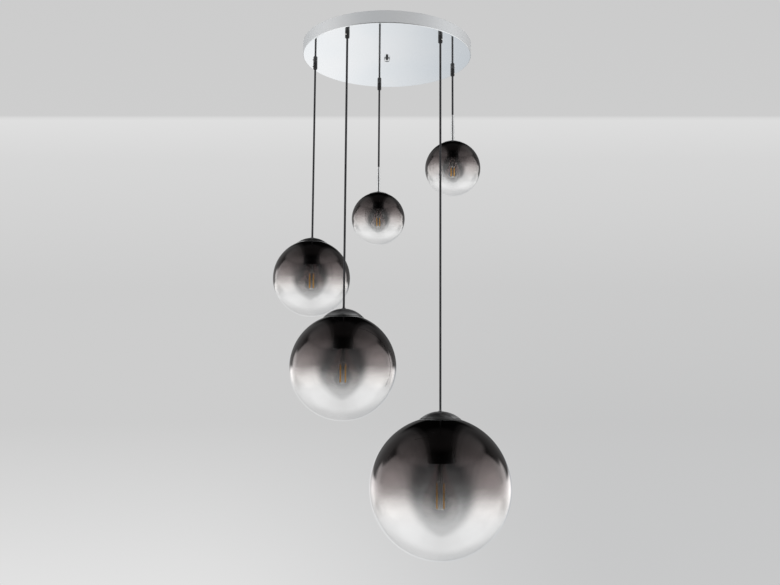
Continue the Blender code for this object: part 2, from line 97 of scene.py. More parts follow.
def closed_surface(name, grid, joined_ends=False, sharp=32):
    """A closed mesh from a grid of points: rows along the shape and columns round it.

    Each row joins up with itself. The last row joins the first where joined_ends is
    true, and otherwise each end row is a point, which the weld closes.
    """
    rows, columns = grid.shape[:2]
    index = np.arange(rows * columns).reshape(rows, columns)
    upper = index if joined_ends else index[:-1]
    lower = np.roll(index, -1, axis=0) if joined_ends else index[1:]
    quads = np.stack(
        (upper, lower, np.roll(lower, -1, axis=1), np.roll(upper, -1, axis=1)), axis=-1
    ).reshape(-1, 4)
    mesh = bpy.data.meshes.new(name)
    mesh.from_pydata(grid.reshape(-1, 3), [], quads)
    work = bmesh.new()
    work.from_mesh(mesh)
    bmesh.ops.remove_doubles(work, verts=work.verts, dist=1e-7)
    bmesh.ops.recalc_face_normals(work, faces=work.faces)
    work.to_mesh(mesh)
    work.free()
    mesh.shade_smooth()
    mesh.set_sharp_from_angle(angle=math.radians(sharp))
    return placed(name, mesh)


def swept_surface(name, path, section, side=None, scale=1.0, sharp=40):
    """A section carried along a path.

    Ring i lies at path[i] + scale[i] (p u + q v) for each section point (p, q), where v
    is the side direction made square to the path and u is square to both. With no side
    given, it is the axis that the path runs least along. The end rings shrink to
    points, which closes the ends.
    """
    path = np.asarray(path, float)
    along = np.gradient(path, axis=0)
    along /= np.linalg.norm(along, axis=1, keepdims=True)
    if side is None:
        side = np.eye(3)[int(np.argmin(np.ptp(path, axis=0)))]
    side = np.asarray(side, float)
    v = side - along * (along @ side)[:, None]
    v /= np.linalg.norm(v, axis=1, keepdims=True)
    u = np.cross(v, along)
    path, u, v = (np.concatenate((rows[:1], rows, rows[-1:])) for rows in (path, u, v))
    size = np.broadcast_to(np.asarray(scale, float), len(path) - 2)
    size = np.concatenate(((0,), size, (0,)))[:, None, None]
    section = np.asarray(section, float)
    rings = section[None, :, 0:1] * u[:, None] + section[None, :, 1:2] * v[:, None]
    return closed_surface(name, path[:, None] + size * rings, sharp=sharp)


def angles(count):
    """Evenly spaced angles once round."""
    return np.linspace(0, 2 * math.pi, count, endpoint=False)


def circle(radius, sides=20):
    """Points (r cos a, r sin a) of a round section."""
    a = angles(sides)
    return np.stack((radius * np.cos(a), radius * np.sin(a)), axis=1)


def upright(x, y, heights):
    """The path straight up or down through (x, y), over the heights given."""
    return np.stack((x + 0 * heights, y + 0 * heights, heights), axis=1)


def new_material(name, colour, roughness, metallic=0.0, specular=0.5):
    """A material with one Principled shader. Returns it, its tree and the shader."""
    material = bpy.data.materials.new(name)
    material.use_nodes = True
    tree = material.node_tree
    shader = tree.nodes["Principled BSDF"]
    shader.inputs["Base Color"].default_value = (*colour, 1)
    shader.inputs["Roughness"].default_value = roughness
    shader.inputs["Metallic"].default_value = metallic
    shader.inputs["Specular IOR Level"].default_value = specular
    return material, tree, shader


def node(tree, kind, inputs=(), **settings):
    """A node with its settings, and its inputs set or linked by name or number."""
    made = tree.nodes.new(kind)
    for key, value in settings.items():
        setattr(made, key, value)
    for key, value in dict(inputs).items():
        if isinstance(value, bpy.types.NodeSocket):
            tree.links.new(value, made.inputs[key])
        else:
            made.inputs[key].default_value = value
    return made


def calc(tree, operation, *values):
    """One Math node over sockets and numbers."""
    return node(tree, "ShaderNodeMath", dict(enumerate(values)), operation=operation).outputs[0]


def map_range(tree, value, low, high, start=0.0, end=1.0, curve="LINEAR"):
    """A value between low and high, carried to between start and end."""
    limits = {"Value": value, "From Min": low, "From Max": high, "To Min": start, "To Max": end}
    return node(tree, "ShaderNodeMapRange", limits, interpolation_type=curve).outputs["Result"]


def noise(tree, scale, detail, roughness=0.5, place=None):
    """Noise over the place given, or else over the object's own coordinates."""
    if place is None:
        place = node(tree, "ShaderNodeTexCoord").outputs["Object"]
    values = {"Vector": place, "Scale": scale, "Detail": detail, "Roughness": roughness}
    return node(tree, "ShaderNodeTexNoise", values).outputs["Fac"]


def colour_ramp(tree, factor, stops, interpolation="EASE"):
    """A colour ramp over (place, colour) stops. A single number is a grey."""
    made = node(tree, "ShaderNodeValToRGB", {"Fac": factor})
    ramp = made.color_ramp
    ramp.interpolation = interpolation
    while len(ramp.elements) < len(stops):
        ramp.elements.new(0.5)
    for element, (place, colour) in zip(ramp.elements, stops):
        element.position = place
        element.color = (*colour, 1) if hasattr(colour, "__len__") else (colour,) * 3 + (1,)
    return made.outputs["Color"]


def vary_colour(tree, shader, scale, detail, stops):
    """Let a shader's base colour follow a noise, over (place, colour) stops."""
    colour = colour_ramp(tree, noise(tree, scale, detail), stops)
    tree.links.new(colour, shader.inputs["Base Color"])


def surface_marks():
    """Shader group: cloudy handling marks and fine scratches over any surface.

    A slow noise gives the clouds, and a noise drawn out along Z gives the scratches.
    Roughness runs from Clean to Marked with them, and Height goes to a Bump node.
    """
    group = bpy.data.node_groups.new("surface_marks", "ShaderNodeTree")
    for way, names in (
        ("INPUT", ("Cloud Scale", "Scratch Scale", "Clean", "Marked")),
        ("OUTPUT", ("Roughness", "Height")),
    ):
        for name in names:
            group.interface.new_socket(name, in_out=way, socket_type="NodeSocketFloat")
    given = group.nodes.new("NodeGroupInput")
    place = node(group, "ShaderNodeTexCoord").outputs["Object"]
    cloud = noise(group, given.outputs["Cloud Scale"], 3.0, 0.6, place)
    stretch = {"Vector": place, "Scale": (1.0, 1.0, 0.12)}
    drawn = node(group, "ShaderNodeMapping", stretch).outputs["Vector"]
    scratch = noise(group, given.outputs["Scratch Scale"], 4.0, 0.7, drawn)
    both = calc(group, "ADD", cloud, calc(group, "MULTIPLY", scratch, 0.4))
    rough = map_range(group, both, 0.45, 0.95, given.outputs["Clean"], given.outputs["Marked"])
    leave = group.nodes.new("NodeGroupOutput")
    group.links.new(rough, leave.inputs["Roughness"])
    group.links.new(scratch, leave.inputs["Height"])
    return group


marks_group = surface_marks()
mark_depth = 0.0004


def marks(tree, clean, marked, cloud_scale, scratch_scale):
    """The surface marks in a material's tree."""
    values = {
        "Cloud Scale": cloud_scale, "Scratch Scale": scratch_scale,
        "Clean": clean, "Marked": marked,
    }
    return node(tree, "ShaderNodeGroup", values, node_tree=marks_group)


def add_marks(tree, shader, clean, marked, cloud_scale, scratch_scale, bump):
    """Feed a shader's roughness and normal from the surface marks."""
    group = marks(tree, clean, marked, cloud_scale, scratch_scale)
    tree.links.new(group.outputs["Roughness"], shader.inputs["Roughness"])
    relief = {"Height": group.outputs["Height"], "Strength": bump, "Distance": mark_depth}
    raised = node(tree, "ShaderNodeBump", relief)
    tree.links.new(raised.outputs["Normal"], shader.inputs["Normal"])


sheath_black, tree, shader = new_material(
    "cord_sheath_black", (0.021, 0.021, 0.023), 0.42, specular=0.12
)
add_marks(tree, shader, 0.60, 0.70, cloud_scale=30, scratch_scale=60, bump=0.004)
vary_colour(
    tree, shader, 40.0, 2.0, ((0.3, (0.020, 0.020, 0.022)), (0.7, (0.028, 0.028, 0.030)))
)

for number in pendant_numbers:
    x, y = hanging_place(number)
    path = upright(x, y, np.linspace(cord_top, cord_bottom[number], cord_rings))
    cord = swept_surface(f"flex_{number}", path, circle(cord_diameter / 2))
    cord.data.materials.append(sheath_black)
    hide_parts(f"cord_{number}")
    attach(cord, f"hanging_cord_{number}")
    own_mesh(cord)


# The canopy pan: spun steel with a small rolled edge between its flat face and its rim.
# It is chromed: the face is a mirror, the rolled edge is dull, with painted shade darkening
# its colour, and the rim is satin. The cap nut holds it up against the ceiling, over the
# strap, the joints and the cord ends.
face_height = -0.0320
pan_radius = 0.2200
pan_wall = 0.0012
pan_edge = 0.0020
pan_bevel = 0.0004
finish_and_shade_band = 0.0040


def quarter(centre_r, centre_h, radius, start, end, steps=10):
    """Points of an arc about (centre_r, centre_h). Angles in degrees, 0 outward and 90 up."""
    a = np.radians(np.linspace(start, end, steps + 1))
    return [(centre_r + radius * math.cos(t), centre_h + radius * math.sin(t)) for t in a]


def round_grid(x, y, r, h, a):
    """The points (x + r cos a, y + r sin a, h) for the angles a."""
    return np.stack((x + r * np.cos(a), y + r * np.sin(a), h + 0 * a), axis=-1)


def turned_surface(name, profile, place, sides=96, joined_ends=False, sharp=32):
    """A turned piece: profile points (radius r, height h) carried round an upright axis.

    Point (i, j) lies at place + (r_i cos a_j, r_i sin a_j, h_i).
    """
    profile = np.asarray(profile, float)
    x, y, z = place
    grid = round_grid(x, y, profile[:, 0:1], z + profile[:, 1:2], angles(sides))
    return closed_surface(name, grid, joined_ends, sharp)


def multiplied(tree, first, second):
    """One colour times another."""
    return node(
        tree, "ShaderNodeMix", {"Factor": 1.0, "A": first, "B": second},
        data_type="RGBA", blend_type="MULTIPLY",
    ).outputs["Result"]


corner_r, corner_h = pan_radius - pan_edge, face_height + pan_edge
inner_face = face_height + pan_wall
pan_profile = [
    (0, inner_face), (corner_r - 0.0010, inner_face), (corner_r, inner_face),
    *quarter(corner_r, corner_h, pan_edge - pan_wall, -90, 0)[1:],
    (pan_radius - pan_wall, -pan_bevel), (pan_radius - 0.0008, 0), (pan_radius - pan_bevel, 0),
    (pan_radius, -pan_bevel), (pan_radius, -0.0014), (pan_radius, corner_h + 0.0006),
    *quarter(corner_r, corner_h, pan_edge, 0, -90),
    (corner_r - 0.0010, face_height), (0, face_height),
]
canopy = turned_surface("canopy_shell", pan_profile, (0, 0, 0), sides=288)

canopy_chrome, tree, shader = new_material("canopy_chrome", (0.85, 0.87, 0.89), 0.05, 1.0)
point = node(tree, "ShaderNodeTexCoord").outputs["Object"]
height = node(tree, "ShaderNodeSeparateXYZ", {"Vector": point}).outputs["Z"]
height = map_range(tree, height, face_height, face_height + finish_and_shade_band)
bloom_stops = ((0.3, (0.84, 0.865, 0.885)), (0.7, (0.88, 0.89, 0.90)))
bloom = colour_ramp(tree, noise(tree, 5.0, 2.0, place=point), bloom_stops)
# Painted shade: the rolled edge's colour is darkened, so that it shows no bright reflected line.
rolled_edge_shade_stops = ((0.01, 1.0), (0.08, 0.36), (0.40, 0.36), (0.60, 0.55))
rolled_edge_shade = colour_ramp(tree, height, rolled_edge_shade_stops, "LINEAR")
tree.links.new(multiplied(tree, bloom, rolled_edge_shade), shader.inputs["Base Color"])
satin = colour_ramp(tree, height, ((0.30, 0.97), (0.60, 0.22)), "LINEAR")
tree.links.new(satin, shader.inputs["Metallic"])
polish = marks(tree, 0.025, 0.06, cloud_scale=6, scratch_scale=500).outputs["Roughness"]
brushed = colour_ramp(tree, height, ((0.01, 0.0), (0.08, 0.22), (0.60, 0.40)), "LINEAR")
tree.links.new(calc(tree, "ADD", polish, brushed), shader.inputs["Roughness"])
canopy.data.materials.append(canopy_chrome)

# Mirror rays see only the cords, the grips with their screws and the cap nut. The smoked
# glass would show dark images of the canopy, of what it holds and of what hangs from it.
canopy.visible_glossy = False
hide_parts("canopy_pan")
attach(canopy, "root")


# The cap nut under the middle of the pan: turned brass with a domed end, chromed. It
# screws on the strap's stud and holds the pan up against the ceiling.
seat_gap = 0.0003
nut_top = face_height - seat_gap
nut_radius = 0.0075
nut_bevel = 0.0004
nut_side = 0.0050
dome_start, dome_depth = 0.0055, 0.0045
bend = np.radians(np.linspace(0, 90, 13))[1:]
nut_profile = [
    (0, nut_top), (nut_radius - nut_bevel, nut_top), (nut_radius, nut_top - nut_bevel),
    (nut_radius, nut_top - nut_side),
    *zip(nut_radius * np.cos(bend), nut_top - dome_start - dome_depth * np.sin(bend)),
]
nut = turned_surface("cap_nut", nut_profile, (0, 0, 0), sides=64)
nut_chrome, tree, shader = new_material("nut_chrome", (0.24, 0.245, 0.25), 0.12, 1.0)
add_marks(tree, shader, 0.10, 0.20, cloud_scale=80, scratch_scale=900, bump=0.03)
vary_colour(
    tree, shader, 160.0, 3.0, ((0.3, (0.20, 0.205, 0.21)), (0.7, (0.28, 0.285, 0.29)))
)
nut.data.materials.append(nut_chrome)
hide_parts("canopy_cap_nut")
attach(nut, "root")


# The cord grips: moulded black nylon barrels with a threaded neck up through the pan.
# A small zinc-plated screw in the side presses the cord, which sets the height.
grip_radius = 0.0055
grip_length = 0.0175
grip_bore = 0.0029
neck_radius = 0.0047
neck_top = -0.0245
groove_depth = 0.0003
mouth_round = 0.0016
shoulder = face_height - seat_gap
grip_bottom = shoulder - grip_length
groove = grip_radius - groove_depth
grip_profile = [
    (grip_bore, neck_top), (neck_radius, neck_top), (neck_radius, shoulder),
    (grip_radius - 0.0004, shoulder), (grip_radius, face_height - 0.0007),
    (grip_radius, grip_bottom + 0.0062), (groove, grip_bottom + 0.0059),
    (groove, grip_bottom + 0.0054), (grip_radius, grip_bottom + 0.0051),
    *quarter(grip_radius - mouth_round, grip_bottom + mouth_round, mouth_round, 0, -90, 6),
    (0.0031, grip_bottom), (grip_bore, grip_bottom + 0.0003),
]

grip_black, tree, shader = new_material(
    "moulded_nylon_black", (0.018, 0.018, 0.019), 0.42, specular=0.20
)
add_marks(tree, shader, 0.34, 0.50, cloud_scale=160, scratch_scale=1600, bump=0.25)
zinc, tree, shader = new_material("bright_zinc", (0.60, 0.61, 0.60), 0.35, 1.0)
add_marks(tree, shader, 0.24, 0.45, cloud_scale=40, scratch_scale=900, bump=0.10)
vary_colour(
    tree, shader, 35.0, 4.0,
    ((0.3, (0.52, 0.54, 0.55)), (0.55, (0.62, 0.62, 0.60)), (0.75, (0.64, 0.62, 0.56))),
)

screw_profile = np.array([
    (0, 0.0030), (0.0017, 0.0030), (0.0017, 0.0072), (0.0014, 0.0075), (0.0010, 0.0075),
    (0.0005, 0.0075), (0, 0.0075),
])
slot_half_width, slot_depth = 0.00032, 0.0007
screw_height = 0.45


def clamp_screw(number):
    """A slotted grub screw on a radial axis, with a chamfered head.

    Profile points (radius r, distance d along the axis) are carried round it, and the
    head's points sink where they lie in its slot.
    """
    x, y = hanging_place(number)
    angle = math.atan2(y, x)
    level = grip_bottom + grip_length * screw_height
    a = angles(32)
    r, d = screw_profile[:, 0:1], screw_profile[:, 1:2] + 0 * a
    across, up = r * np.cos(a), r * np.sin(a)
    in_slot = (d > 0.0074) & (np.abs(up) < slot_half_width)
    d = np.where(in_slot, d - slot_depth, d)
    east = x + d * math.cos(angle) - across * math.sin(angle)
    north = y + d * math.sin(angle) + across * math.cos(angle)
    return closed_surface(f"grub_screw_{number}", np.stack((east, north, level + up), axis=-1))


for number in pendant_numbers:
    x, y = hanging_place(number)
    grip = turned_surface(f"grip_{number}", grip_profile, (x, y, 0), sides=64, joined_ends=True)
    grip.data.materials.append(grip_black)
    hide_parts(f"cord_grip_{number}")
    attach(grip, f"grip_{number}")
    screw = clamp_screw(number)
    screw.data.materials.append(zinc)
    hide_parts(f"clamp_screw_{number}")
    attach(screw, f"grip_{number}")


# The globes: blown glass with a smoke-grey metal film sprayed in from the neck, dense at
# the top and gone below the middle. Each hangs by its ground hole on three ears.
globe_radius = {1: 0.0740, 2: 0.0740, 3: 0.0997, 4: 0.1246, 5: 0.1652}
globe_drop = {1: 0.2762, 2: 0.3914, 3: 0.5823, 4: 0.8198, 5: 1.0977}
globe_centre = {n: face_height - globe_drop[n] for n in pendant_numbers}
cap_radius = {1: 0.0260, 2: 0.0260, 3: 0.0395, 4: 0.0480, 5: 0.04935}
hole_radius = {n: cap_radius[n] - 0.0015 for n in pendant_numbers}
glass_wall = 0.0020
globe_rings = 90


def filmed_glass(
    name, roughness, film_stops, tint_stops, sheen_stops, rim_stops, least=0.12, soft=0.0
):
    """Glass with a smoke film whose density and colour follow the height attribute.

    Only the side of a wall that faces the ray shades: of the light that a wall's mirror
    share doesn't reflect, the film takes its share, and the rest goes straight through.
    The wall is as solid as all that it keeps, and its colour blends mirror and film. The
    film looks denser on a slant, down to a facing share of least, and thins toward the
    outline by the power soft.
    """
    material, tree, shader = new_material(name, (0.05, 0.05, 0.05), roughness, 1.0)
    height = node(tree, "ShaderNodeAttribute", attribute_name="height_share").outputs["Fac"]
    place = map_range(tree, height, -1.0, 1.0)
    film = colour_ramp(tree, place, film_stops, "LINEAR")
    tint = colour_ramp(tree, place, tint_stops, "LINEAR")
    sheen = colour_ramp(tree, place, sheen_stops, "LINEAR")
    rim = colour_ramp(tree, place, rim_stops, "LINEAR")
    warm_stops = ((0.25, (1.0, 1.0, 1.0)), (0.45, (1.0, 0.94, 0.925)), (0.60, (1.0, 0.88, 0.875)))
    warm = colour_ramp(tree, place, warm_stops, "LINEAR")
    facing = node(tree, "ShaderNodeLayerWeight", {"Blend": 0.5}).outputs["Facing"]
    upright_share = calc(tree, "SUBTRACT", 1.0, facing)
    slant = calc(tree, "DIVIDE", 1.0, calc(tree, "MAXIMUM", upright_share, least))
    film = calc(tree, "MULTIPLY", film, calc(tree, "POWER", upright_share, soft))
    clear = calc(tree, "POWER", calc(tree, "SUBTRACT", 1.0, film), slant)
    mirror = calc(tree, "MULTIPLY_ADD", calc(tree, "POWER", facing, 4.5), rim, sheen)
    through = calc(tree, "MULTIPLY", calc(tree, "SUBTRACT", 1.0, mirror), clear)
    solid = calc(tree, "SUBTRACT", 1.0, through)
    shares = {"Factor": calc(tree, "DIVIDE", mirror, solid), "A": tint, "B": warm}
    blended = node(tree, "ShaderNodeMix", shares, data_type="RGBA").outputs["Result"]
    tree.links.new(blended, shader.inputs["Base Color"])
    back = node(tree, "ShaderNodeNewGeometry").outputs["Backfacing"]
    front = calc(tree, "SUBTRACT", 1.0, back)
    tree.links.new(calc(tree, "MULTIPLY", solid, front), shader.inputs["Alpha"])
    return material


def height_attribute(piece, middle, radius):
    """The attribute height_share of each point: its height over middle, in radii."""
    points = np.empty(len(piece.data.vertices) * 3)
    piece.data.vertices.foreach_get("co", points)
    share = (points.reshape(-1, 3)[:, 2] - middle) / radius
    made = piece.data.attributes.new("height_share", "FLOAT", "POINT")
    made.data.foreach_set("value", share)


smoked_glass = filmed_glass(
    "smoked_globe_glass", 0.015,
    film_stops=(
        (0.00, 0.0), (0.27, 0.01), (0.32, 0.08), (0.36, 0.20), (0.40, 0.30), (0.45, 0.44),
        (0.49, 0.60), (0.53, 0.71), (0.60, 0.755), (0.67, 0.775), (0.71, 0.84), (0.75, 0.93),
        (0.80, 0.975), (1.0, 0.985),
    ),
    tint_stops=(
        (0.0, (0.5, 0.5, 0.5)), (0.35, (0.2, 0.19, 0.18)), (0.5, (0.014, 0.009, 0.008)),
        (0.75, (0.010, 0.007, 0.006)), (0.9, (0.004, 0.0035, 0.0035)),
    ),
    sheen_stops=((0.0, 0.077), (0.45, 0.066), (0.60, 0.058), (0.80, 0.052), (1.0, 0.040)),
    rim_stops=((0.0, 0.30), (0.40, 0.40), (0.50, 0.70), (0.60, 0.20), (0.70, 0.08), (1.0, 0.04)),
)


def bowl(radius, start, end):
    """Points of a round outline between two angles from the top. The foot is on the axis."""
    turns = np.linspace(start, end, globe_rings)
    return [(radius * math.sin(t) if t < math.pi else 0, radius * math.cos(t)) for t in turns]


for number in pendant_numbers:
    x, y = hanging_place(number)
    outer, hole = globe_radius[number], hole_radius[number]
    inner = outer - glass_wall
    profile = bowl(inner, math.pi, math.asin(hole / inner))
    profile += bowl(outer, math.asin(hole / outer), math.pi)
    globe = turned_surface(
        f"glass_globe_{number}", profile, (x, y, globe_centre[number]), sides=144,
        joined_ends=True, sharp=50,
    )
    height_attribute(globe, globe_centre[number], outer)
    globe.data.materials.append(smoked_glass)
    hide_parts(f"globe_{number}")
    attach(globe, f"pendant_{number}")
    globe.visible_glossy = False


# The caps: shallow domes spun from thin steel and chromed, with a rolled rim that rests
# over the glass and a turned collar where the cord or stem goes in. Rim and top are
# painted darker: painted shade that keeps them from showing bright reflected lines.
cap_rise = {1: 0.0060, 2: 0.0060, 3: 0.0140, 4: 0.0220, 5: 0.0190}
cap_wall = 0.0010
cap_throat = 0.0075
collar_radius = 0.0045
collar_height = 0.0020
collar_round = 0.0005
cord_hole = 0.0029
cap_seat = {
    n: math.sqrt(globe_radius[n] ** 2 - (cap_radius[n] - cap_wall) ** 2) + seat_gap
    for n in pendant_numbers
}
gallery_top = {n: math.sqrt(globe_radius[n] ** 2 - hole_radius[n] ** 2) for n in pendant_numbers}

spun_chrome, tree, shader = new_material("spun_cap_chrome", (0.60, 0.61, 0.62), 0.30, 1.0)
add_marks(tree, shader, 0.26, 0.36, cloud_scale=40, scratch_scale=600, bump=0.02)
spun_stops = ((0.42, (0.42, 0.425, 0.43)), (0.58, (0.95, 0.96, 0.97)))
spun = colour_ramp(tree, noise(tree, 22.0, 2.0), spun_stops)
height = node(tree, "ShaderNodeAttribute", attribute_name="height_share").outputs["Fac"]
# Painted shade: the base colour darkens at the rolled rim and at the collar's top.
cap_shade_stops = ((0.05, 0.20), (0.22, 1.0), (0.94, 1.0), (1.0, 0.16))
painted_end_shade = colour_ramp(tree, height, cap_shade_stops, "LINEAR")
tree.links.new(multiplied(tree, spun, painted_end_shade), shader.inputs["Base Color"])


def dome(seat, rim, rise, start, steps):
    """Points of a shallow dome from radius start out to its rim, an arc centred on the axis."""
    big = (rim**2 + rise**2) / (2 * rise)
    t = np.linspace(math.asin(start / big), math.asin(rim / big), steps)
    return list(zip(big * np.sin(t), seat + rise - big + big * np.cos(t)))


for number in pendant_numbers:
    x, y = hanging_place(number)
    seat, rim, rise = cap_seat[number], cap_radius[number], cap_rise[number]
    top, foot = seat + rise + collar_height, gallery_top[number] + seat_gap
    outer = dome(seat, rim, rise, collar_radius + 0.0004, 28)
    profile = [
        (cord_hole, top - 0.0003), (cord_hole + 0.0003, top),
        *quarter(collar_radius - collar_round, top - collar_round, collar_round, 90, 0, 5),
        (collar_radius, outer[0][1] + 0.0004), *outer[:-1],
        *quarter(rim - cap_wall / 2, seat + 0.0002, cap_wall / 2, 60, -90, 8),
        *dome(seat, rim - cap_wall, rise - cap_wall, cap_throat, 24)[::-1],
        (cap_throat, foot), (cord_hole, foot),
    ]
    cap = turned_surface(
        f"cap_dome_{number}", profile, (x, y, globe_centre[number]), sides=144,
        joined_ends=True, sharp=40,
    )
    height_attribute(cap, globe_centre[number] + seat, rise)
    cap.data.materials.append(spun_chrome)
    cap.visible_glossy = False
    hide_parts(f"cap_{number}")
    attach(cap, f"pendant_{number}")


# The stems over the two smallest globes: slim conical tubes, drawn from steel and
# chromed. Each stands on its cap's collar, and the cord runs down through it.
stem_length = 0.0700
stem_head, stem_foot = 0.0034, 0.0049
drawn_chrome, tree, shader = new_material("drawn_stem_chrome", (0.40, 0.41, 0.42), 0.20, 1.0)
add_marks(tree, shader, 0.30, 0.38, cloud_scale=60, scratch_scale=60, bump=0.002)
vary_colour(
    tree, shader, 30.0, 2.0, ((0.3, (0.44, 0.445, 0.45)), (0.7, (0.54, 0.545, 0.55)))
)
for number in (1, 2):
    x, y = hanging_place(number)
    low = cap_seat[number] + cap_rise[number] + collar_height + seat_gap
    high = low + stem_length
    taper = np.linspace(0, 1, 12)[1:-1]
    profile = [
        (cord_hole, high - 0.0003), (cord_hole + 0.0001, high), (stem_head - 0.0002, high),
        (stem_head, high - 0.0003),
        *zip(stem_head + (stem_foot - stem_head) * taper, high - stem_length * taper),
        (stem_foot, low + 0.0005), (stem_foot - 0.0003, low), (cord_hole, low),
    ]
    stem = turned_surface(
        f"cone_stem_{number}", profile, (x, y, globe_centre[number]), sides=64, joined_ends=True
    )
    stem.data.materials.append(drawn_chrome)
    stem.visible_glossy = False
    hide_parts(f"stem_{number}")
    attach(stem, f"pendant_{number}")


# The galleries: pressed steel cones in the globes' necks, painted satin black. Three ears
# reach out under the glass and carry it, and the cone holds the lamp holder's head. They
# clear the glass in the solid part too, where each neck has a few flat sides.
holder_head = {1: 0.0145, 2: 0.0145, 3: 0.0185, 4: 0.0195, 5: 0.0220}
gallery_bottom = {n: globe_radius[n] * 0.77 for n in pendant_numbers}
neck_sides = {1: 16, 2: 16, 3: 20, 4: 24, 5: 28}
ear_reach = 0.0040
ear_half_width = 0.0040
ear_thickness = 0.0015
sheet_wall = 0.0012

satin_black, tree, shader = new_material(
    "satin_black_paint", (0.012, 0.012, 0.012), 0.35, specular=0.06
)
add_marks(tree, shader, 0.28, 0.42, cloud_scale=70, scratch_scale=1200, bump=0.12)
vary_colour(
    tree, shader, 90.0, 3.0, ((0.3, (0.008, 0.008, 0.008)), (0.75, (0.018, 0.018, 0.018)))
)


def joined(name, pieces):
    """One object from several: their meshes put side by side."""
    work = bmesh.new()
    for piece in pieces:
        work.from_mesh(piece.data)
    mesh = bpy.data.meshes.new(name)
    work.to_mesh(mesh)
    work.free()
    for piece in pieces:
        bpy.data.objects.remove(piece)
    return placed(name, mesh)


def rounded_box(half_width, half_height, power=6, sides=24):
    """Points of a box section with soft corners: |p/a|^n + |q/b|^n = 1."""
    a = angles(sides)
    c, d = np.cos(a), np.sin(a)
    p = half_width * np.sign(c) * np.abs(c) ** (2 / power)
    q = half_height * np.sign(d) * np.abs(d) ** (2 / power)
    return np.stack((p, q), axis=1)


for number in pendant_numbers:
    x, y = hanging_place(number)
    angle = math.atan2(y, x)
    centre = globe_centre[number]
    radius = hole_radius[number] - 0.0008
    ear_end = hole_radius[number] + ear_reach
    corner = math.hypot(ear_end, ear_half_width) / math.cos(math.pi / neck_sides[number])
    ear_top = math.sqrt((globe_radius[number] - glass_wall) ** 2 - corner**2) - seat_gap
    ear_bottom = ear_top - ear_thickness
    top, bottom, throat = gallery_top[number], gallery_bottom[number], holder_head[number]
    profile = [
        (cord_hole, top), (radius - 0.0008, top), (radius, top - 0.0008),
        (radius, ear_bottom + 0.0006), (radius - 0.0006, ear_bottom - 0.0004),
        (throat + 0.0006, bottom + 0.0008), (throat, bottom), (throat - sheet_wall, bottom),
        (radius - 0.0014, ear_bottom), (radius - sheet_wall, top - 0.0015),
        (cord_hole, top - 0.0015),
    ]
    made = [turned_surface(f"cone_{number}", profile, (x, y, centre), sides=120, joined_ends=True)]
    for ear in range(3):
        turn = angle + 2 * math.pi * ear / 3
        reach = np.linspace(radius - 0.0030, ear_end, 8)
        east, north = x + reach * math.cos(turn), y + reach * math.sin(turn)
        level = centre + ear_top - ear_thickness / 2
        made.append(swept_surface(
            f"ear_{number}_{ear}", np.stack((east, north, level + 0 * reach), axis=1),
            rounded_box(ear_thickness / 2, ear_half_width),
            side=(-math.sin(turn), math.cos(turn), 0), scale=(1, 1, 1, 1, 1, 1, 1, 0.93),
        ))
    gallery = joined(f"gallery_cone_{number}", made)
    gallery.data.materials.append(satin_black)
    gallery.visible_glossy = False
    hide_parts(f"gallery_{number}")
    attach(gallery, f"pendant_{number}")


# The lamp holders: moulded black phenolic resin, a solid head over a socket that widens
# downward. A parting groove goes round each, and fine ribs help the hand that turns it.
holder_mouth = {1: 0.0160, 2: 0.0160, 3: 0.0220, 4: 0.0255, 5: 0.0335}
socket_depth = {1: 0.0250, 2: 0.0250, 3: 0.0340, 4: 0.0340, 5: 0.0340}
holder_low = {n: globe_radius[n] * 0.345 for n in pendant_numbers}
holder_wall = 0.0025
parting_depth, parting_place, parting_width = 0.0004, 0.34, 0.012
rib_count, rib_depth = 40, 0.0004
rib_start, rib_end, rib_fade = 0.42, 0.90, 0.05
wall_rows = 60

phenolic, tree, shader = new_material(
    "black_phenolic_resin", (0.010, 0.010, 0.011), 0.28, specular=0.08
)
add_marks(tree, shader, 0.22, 0.36, cloud_scale=55, scratch_scale=1500, bump=0.10)
vary_colour(
    tree, shader, 420.0, 2.0, ((0.35, (0.007, 0.007, 0.008)), (0.7, (0.013, 0.012, 0.012)))
)

for number in pendant_numbers:
    x, y = hanging_place(number)
    head, mouth = holder_head[number], holder_mouth[number]
    top, low = gallery_bottom[number] - seat_gap, holder_low[number]
    roof = low + socket_depth[number]
    share = np.linspace(0.03, 0.97, wall_rows)
    groove = -parting_depth * np.exp(-(((share - parting_place) / parting_width) ** 2))
    wall = head + (mouth - head) * share + groove
    inside_roof = mouth + (head - mouth) * (roof - low) / (top - low) - holder_wall
    profile = np.array([
        (0, top), (head - 0.0008, top), (head, top - 0.0006),
        *zip(wall, top - (top - low) * share),
        (mouth, low + 0.0006), (mouth - 0.0006, low), (mouth - holder_wall, low),
        (inside_roof, roof), (0, roof),
    ])
    a = angles(240)
    r, h = profile[:, 0:1], profile[:, 1:2]
    along = (top - h) / (top - low)
    outside = np.arange(len(profile))[:, None] < 3 + wall_rows
    ribbed = np.clip((along - rib_start) / rib_fade, 0, 1)
    ribbed = outside * ribbed * np.clip((rib_end - along) / rib_fade, 0, 1)
    r = r - ribbed * rib_depth * (0.5 + 0.5 * np.cos(rib_count * a))
    grid = round_grid(x, y, r, globe_centre[number] + h, a)
    holder = closed_surface(f"holder_{number}", grid, sharp=50)
    holder.data.materials.append(phenolic)
    holder.visible_glossy = False
    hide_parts(f"lamp_holder_{number}")
    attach(holder, f"pendant_{number}")
